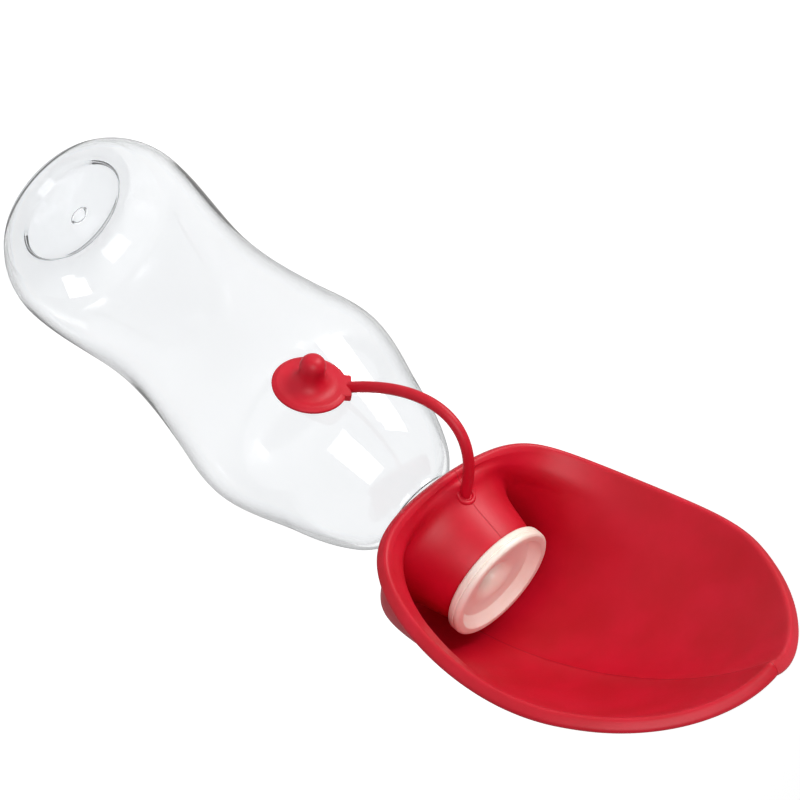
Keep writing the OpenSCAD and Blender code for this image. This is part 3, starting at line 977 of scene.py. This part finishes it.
    def build(self) -> bpy.types.Object:
        """Makes the bowl as one closed skin: its inside, the rim's flat band and its outside.

        The inside swells slowly towards the rim, whose section is a superellipse, |cos|^p by sin^p, nearly
        square. The angles lie closer together at the rear and at the tip, where the rim turns most:
        theta = u - crowding sin(2 u).

        Returns:
            The bowl's object.
        """
        u = np.linspace(0, TURN, self.around, endpoint=False)
        angle = u - self.crowding * np.sin(2 * u)
        wall_rows = 1 + np.linspace(0, 1, self.wall_rows)[1:] ** 0.9
        rows = np.concatenate([np.linspace(0, 1, self.collar_rows), wall_rows])
        theta, v = np.meshgrid(angle, rows)
        middle, normal = self.skin(theta, v), self.normal(theta, v)
        low, span = self.inner_swell
        swell = mix(self.thickness(v), self.rim_t, smooth((v - low) / span))[..., None] / 2
        inside, outside = middle + swell * normal, middle - self.thickness(v)[..., None] / 2 * normal
        edge, lift = middle[-1], normal[-1]
        ahead = unit(middle[-1] - self.skin(angle, np.full_like(angle, 1.97)))
        bend = np.radians(np.linspace(0, 180, self.roll_steps)[1:-1])[:, None, None]
        square = self.rim_square
        across = np.sign(np.cos(bend)) * np.abs(np.cos(bend)) ** square
        roll = edge + self.rim_t / 2 * (across * lift + np.sin(bend) ** square * ahead)
        rings = np.concatenate([inside, roll, outside[::-1]])
        return closed_object("leaf_bowl_skin", rings, Ends.WRAP, 60.0)

    def boss(self) -> bpy.types.Object:
        """Raised ring round the strap's hole, on the collar's face towards the bowl.

        A small circle about the hole is laid on the collar, x = sqrt(r(z)^2 - y^2), and a half-sunk tube
        follows it.

        Returns:
            The ring's object.
        """
        v = np.linspace(0.4, 1.0, 80)
        theta = np.zeros_like(v)
        face = self.skin(theta, v) + self.thickness(v)[:, None] / 2 * self.normal(theta, v)
        order = np.argsort(face[:, 2])
        a = np.linspace(0, TURN, 49)
        y, z = self.boss_r * np.cos(a), self.root_z + self.foot_rise + self.boss_r * np.sin(a)
        r = np.interp(z, face[order, 2], face[order, 0])
        path = np.stack([np.sqrt(r**2 - y**2) - 0.1, y, z], axis=1)
        rings = swept(path, np.full(len(path), self.boss_t), 16)
        return closed_object("strap_hole_ring", rings[:-1], Ends.WRAP, 60.0)

    def dress(self, finish: Silicone) -> None:
        """Builds the bowl and its ring, gives them their finish and puts them in the place of the solid."""
        for piece, seam, solid in ((self.build(), True, "leaf_bowl"), (self.boss(), False, "")):
            finished(piece, finish.make(piece.name + "_silicone", seam), "head", solid)


# ---- Stopper and strap ----
@dataclass
class Stopper:
    """Disc with a round plug and a small square tab that the strap runs into."""

    disc_r: float = 11.75
    disc_t: float = 1.8
    plug_r: float = 4.0
    plug_length: float = 10.5
    hollow_r: float = 4.8
    tab_w: float = 8.8
    tab_reach: float = 12.5
    tab_t: float = 2.8
    tab_corner: float = 0.55
    tab_turn_deg: float = 48.0
    foot_z: float = 190.9
    drop: float = 52.7
    y: float = 16.9
    gap: float = 0.6

    def back(self, bottle: Bottle) -> np.ndarray:
        """Middle of the disc's back, its own gap clear of the bottle's side.

        Args:
            bottle: the bottle that the parked stopper lies against.

        Returns:
            The point.
        """
        z = self.foot_z - self.drop
        a = np.radians(np.arange(0, 360, 15))
        y = self.y + self.disc_r * np.cos(a)
        r = bottle.outer_radius(z + self.disc_r * np.sin(a))
        return np.array([self.gap + np.sqrt(np.maximum(0, r**2 - y**2)).max(), self.y, z])

    def tab_way(self) -> np.ndarray:
        """Direction from the disc's middle to its tab."""
        turn = math.radians(self.tab_turn_deg)
        return np.array([0.0, -math.sin(turn), math.cos(turn)])

    def tab_end(self, bottle: Bottle) -> np.ndarray:
        """Point where the strap meets the tab."""
        return self.back(bottle) + np.array([self.disc_t / 2, 0, 0]) + self.tab_reach * self.tab_way()

    def placed(self, points: np.ndarray, bottle: Bottle) -> np.ndarray:
        """Points given as (towards the tab, across, along the plug), put in their place.

        Args:
            points: array that ends in the three coordinates.
            bottle: the bottle that the parked stopper lies against.

        Returns:
            The points in the frame of the whole object.
        """
        plug = np.array([1.0, 0.0, 0.0])
        basis = np.stack([self.tab_way(), np.cross(plug, self.tab_way()), plug])
        return self.back(bottle) + points @ basis

    def disc_rings(self) -> np.ndarray:
        """Rings of disc and plug about the plug's axis: a thin edge, a hollow blend and a round tip."""
        arc, tip_arc = np.radians(np.linspace(-90, -180, 26)), np.radians(np.linspace(0, 88, 16))
        curl, tip_curl = (np.stack([np.cos(a), np.sin(a)], axis=1) for a in (arc, tip_arc))
        hollow = self.hollow_r * curl + np.array([self.plug_r, self.disc_t]) + self.hollow_r
        flat_r = 0.5
        tip_r = self.plug_r - flat_r
        end = self.disc_t + self.plug_length
        tip = tip_r * tip_curl + np.array([flat_r, end - tip_r])
        edge = rounded(
            [
                (0.2, 0.0, 0.0),
                (self.disc_r - 0.25, 0.0, 0.45),
                (self.disc_r, self.disc_t * 0.55, 0.5),
                (self.disc_r - 1.5, self.disc_t, 1.4),
                (hollow[0][0], self.disc_t, 0.0),
            ]
        )
        outline = np.vstack([edge[:-1], hollow, tip, [[0.2, end]]])
        return revolved(densified(outline, 0.8), 128)

    def tab_rings(self) -> np.ndarray:
        """Rings of the tab: a rounded rectangle carried outwards, drawn in at its end by a quarter circle."""
        corner = self.tab_corner
        a = np.linspace(0, TURN, 48, endpoint=False)
        half_w, half_t = self.tab_w / 2 - corner, self.tab_t / 2 - corner
        sides = np.stack([np.sign(np.cos(a)) * half_w, np.sign(np.sin(a)) * half_t], axis=1)
        curl = np.stack([np.cos(a), np.sin(a)], axis=1)
        quarter = np.radians(np.linspace(0, 84, 7))
        rounding = self.tab_reach - corner + corner * np.sin(quarter)
        reach = np.concatenate([[self.disc_r - 5.5, self.disc_r - 2], rounding])
        inset = np.concatenate([[corner, corner], corner * np.cos(quarter)])
        middle = self.disc_t - self.tab_t / 2
        across = sides + inset[:, None, None] * curl
        out = np.broadcast_to(reach[:, None], across.shape[:2])
        return np.stack([out, across[..., 0], across[..., 1] + middle], axis=-1)

    def dress(self, finish: Silicone, bottle: Bottle) -> None:
        """Builds disc and tab, gives them their finish and puts them in the place of the solid."""
        disc = closed_object("stopper_disc", self.placed(self.disc_rings(), bottle), Ends.FAN, 50.0)
        tab = closed_object("stopper_tab", self.placed(self.tab_rings(), bottle), Ends.FAN, 50.0)
        coat = finish.make("stopper_silicone", False)
        finished(disc, coat, "plug", "stopper")
        finished(tab, coat, "plug")


@dataclass
class Strap:
    """Round strap from the collar to the stopper's tab, in stretches that meet midway between its bends."""

    radius: float = 1.75
    foot_x: float = 24.0
    foot_z: float = 190.9
    inner_x: float = 20.5
    barb_r: float = 2.9
    barb_t: float = 1.1
    arch_reach: float = 27.0
    end_pull: tuple[float, float, float] = (17.8, -8.3, 25.2)
    first_bend: float = 0.16
    last_bend: float = 0.7
    bends: int = 5
    press_from: float = 0.905
    press_past: float = 1.7
    sunk: float = 0.6
    stretch_rows: int = 25
    columns: int = 28

    def line(self, tab_end: np.ndarray, t: np.ndarray) -> np.ndarray:
        """Middle line of the strap at shares t of the way from its foot to the tab."""
        foot = np.array([self.foot_x, 0.0, self.foot_z])
        leave = foot + np.array([self.arch_reach, 0.0, 0.0])
        return bezier([foot, leave, tab_end + np.array(self.end_pull), tab_end], t)

    def stretches(self) -> list[tuple[float, float]]:
        """Shares of the line at which each stretch of the strap starts and ends, midway between bends."""
        bend = np.linspace(self.first_bend, self.last_bend, self.bends)
        ends = np.concatenate([[0.0], bend, [1.0]])
        joins = np.append((ends[:-1] + ends[1:]) / 2, 1.0)
        return list(zip(joins[:-1].tolist(), joins[1:].tolist()))

    def foot(self, tab_end: np.ndarray) -> bpy.types.Object:
        """Makes the fixed end of the strap: the head behind the collar and the stub through its hole.

        Args:
            tab_end: the strap's far end.

        Returns:
            The stub's object.
        """
        back = self.inner_x - self.barb_t
        head = rounded(
            [
                (0.2, back, 0.0),
                (self.barb_r, back, 0.4),
                (self.barb_r, self.inner_x, 0.3),
                (self.radius, self.inner_x, 0.15),
                (self.radius, self.foot_x, 0.0),
            ]
        )
        round_head = revolved(densified(head, 0.5), self.columns)
        stub = np.stack([round_head[..., 2], round_head[..., 1], self.foot_z - round_head[..., 0]], axis=-1)
        t = np.linspace(0, self.first_bend / 2, 6)[1:]
        path = self.line(tab_end, t)
        path = np.vstack([[self.foot_x, 0.0, self.foot_z], path])
        run = swept(path, np.full(len(path), self.radius), self.columns)
        lined_up = np.roll(run, self.columns // 4, axis=1)
        turn = np.linalg.norm(lined_up[0] - stub[-1], axis=-1).sum()
        flipped = np.roll(run[:, ::-1], 1 + self.columns // 4, axis=1)
        if np.linalg.norm(flipped[0] - stub[-1], axis=-1).sum() < turn:
            lined_up = flipped
        return closed_object("strap_stub", np.concatenate([stub, lined_up[1:]]), Ends.FAN, 45.0)

    def dress(self, finish: Silicone, tab_end: np.ndarray) -> None:
        """Builds the strap's stretches, gives them their finish and puts all but the last in the place of the
        strap's links and tip.

        The last one runs on by sunk past the tab.

        Args:
            finish: the silicone.
            tab_end: the strap's far end, on the stopper's tab.
        """
        coat = finish.make("strap_silicone", False)
        finished(self.foot(tab_end), coat, "head", "strap_foot")
        solids = [*(f"strap_link_{i}" for i in range(1, self.bends)), "strap_tip", ""]
        for i, (start, end) in enumerate(self.stretches()):
            path = self.line(tab_end, np.linspace(start, end, self.stretch_rows))
            first, last = path[0], path[-1]
            if i == self.bends:
                onward = unit(path[-1] - path[-2])
                path = np.vstack([path, path[-1] + self.sunk * onward])
                first = self.line(tab_end, np.array([self.press_from]))[0]
                last = path[-1] + self.press_past * onward
            rings = swept(path, np.full(len(path), self.radius), self.columns)
            piece = closed_object(f"strap_stretch_{i + 1}", rings, Ends.FAN, 45.0)
            (first * MM).tolist()
            (last * MM).tolist()
            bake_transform(piece)
            finished(piece, coat, solid=solids[i])


# ---- Studio ----
@dataclass(frozen=True)
class Lamp:
    """Soft rectangular lamp, placed and aimed in millimetres."""

    name: str
    place: tuple[float, float, float]
    aim: tuple[float, float, float]
    size: float
    power: float
    tint: tuple[float, float, float] = (1.0, 1.0, 1.0)

    def build(self) -> None:
        """Makes the lamp."""
        data = bpy.data.lights.new(self.name, "AREA")
        data.shape = "SQUARE"
        data.size = self.size * MM
        data.energy = self.power
        data.color = self.tint
        place = Vector(self.place) * MM
        turned = (Vector(self.aim) * MM - place).to_track_quat("-Z", "Y").to_matrix().to_4x4()
        placed(self.name, data, Matrix.Translation(place) @ turned)


@dataclass
class Studio:
    """White floor, soft lamps, pale world and the camera of the photograph."""

    camera_place: tuple[float, float, float] = (444.7576, 318.0623, 403.4922)
    camera_right: tuple[float, float, float] = (0.13858729, -0.70801534, 0.69246505)
    camera_up: tuple[float, float, float] = (0.68728806, -0.43466693, -0.58197919)
    camera_back: tuple[float, float, float] = (0.71304185, 0.55657788, 0.42637118)
    lens: float = 85.5
    sensor: float = 36.0
    floor_size: float = 12000.0
    floor_z: tuple[float, float] = (-10.0, -0.02)
    ambient: float = 0.26
    white_through: float = 0.97
    white_mirrored: float = 0.5

    def camera(self) -> None:
        """Makes the camera and makes it the scene's own."""
        data = bpy.data.cameras.new("camera")
        data.lens = self.lens
        data.sensor_width = self.sensor
        data.clip_end = 100.0
        place = np.array(self.camera_place) * MM
        columns = np.stack([self.camera_right, self.camera_up, self.camera_back, place], axis=1)
        matrix = Matrix([*columns.tolist(), [0.0, 0.0, 0.0, 1.0]])
        bpy.context.scene.camera = placed("camera", data, matrix)

    def floor(self) -> None:
        """Makes the floor, a thin square slab whose top is at z = 0."""
        half = self.floor_size / 2
        square = np.array([[-half, -half], [half, -half], [half, half], [-half, half]])
        rings = np.stack([np.column_stack([square, np.full(4, z)]) for z in self.floor_z])
        slab = closed_object("floor", rings, Ends.FAN, 30.0)
        slab.data.materials.append(FloorPaint().make("floor_paint"))

    def world(self) -> None:
        """Makes the world: pale for light, white for the camera, a shade less through and in gloss."""
        world = bpy.data.worlds.new("studio")
        bpy.context.scene.world = world
        world.use_nodes = True
        shader = Shader(world.node_tree)
        path = shader.node("ShaderNodeLightPath")
        seen = shader.value(path, "Is Camera Ray") * (1.0 - self.ambient)
        through = shader.value(path, "Is Transmission Ray") * (self.white_through - self.ambient)
        mirrored = shader.value(path, "Is Glossy Ray") * (self.white_mirrored - self.ambient)
        strength = self.ambient + seen + through + mirrored
        white = (1.0, 1.0, 1.0, 1.0)
        sky = shader.node("ShaderNodeBackground", inputs={"Color": white, "Strength": strength})
        shader.node("ShaderNodeOutputWorld", inputs={"Surface": sky.outputs[0]})

    def lamps(self) -> list[Lamp]:
        """The lamps: a key from the side that is up in the photograph, a fill and a high soft one."""
        aim = (10.0, 0.0, 190.0)
        return [
            Lamp("key", (900.0, -620.0, 260.0), aim, 520.0, 7.2, (1.0, 0.985, 0.96)),
            Lamp("front", (815.0, 600.0, 730.0), aim, 640.0, 6.2),
            Lamp("high", (-300.0, -200.0, 1200.0), aim, 800.0, 1.6),
        ]

    def build(self) -> None:
        """Makes the whole studio and sets the view."""
        self.camera()
        self.floor()
        self.world()
        for lamp in self.lamps():
            lamp.build()
        bpy.context.scene.view_settings.view_transform = "Standard"


def main() -> None:
    """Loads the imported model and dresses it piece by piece."""
    logging.basicConfig(level=logging.INFO, format="%(message)s")
    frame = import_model()
    Studio().build()
    silicone = Silicone()
    bottle, stopper = Bottle(), Stopper()
    bottle.dress(ClearPlastic())
    PourNozzle().dress(CreamPlastic())
    LeafBowl().dress(silicone)
    stopper.dress(silicone, bottle)
    Strap().dress(silicone, stopper.tab_end(bottle))
    seal = frame["nodes"]["neck_seal"]
    seal.data.materials.clear()
    seal.data.materials.append(SealRubber().make("seal_rubber"))
    log.info("seal: dressed")


if __name__ == "__main__":
    main()
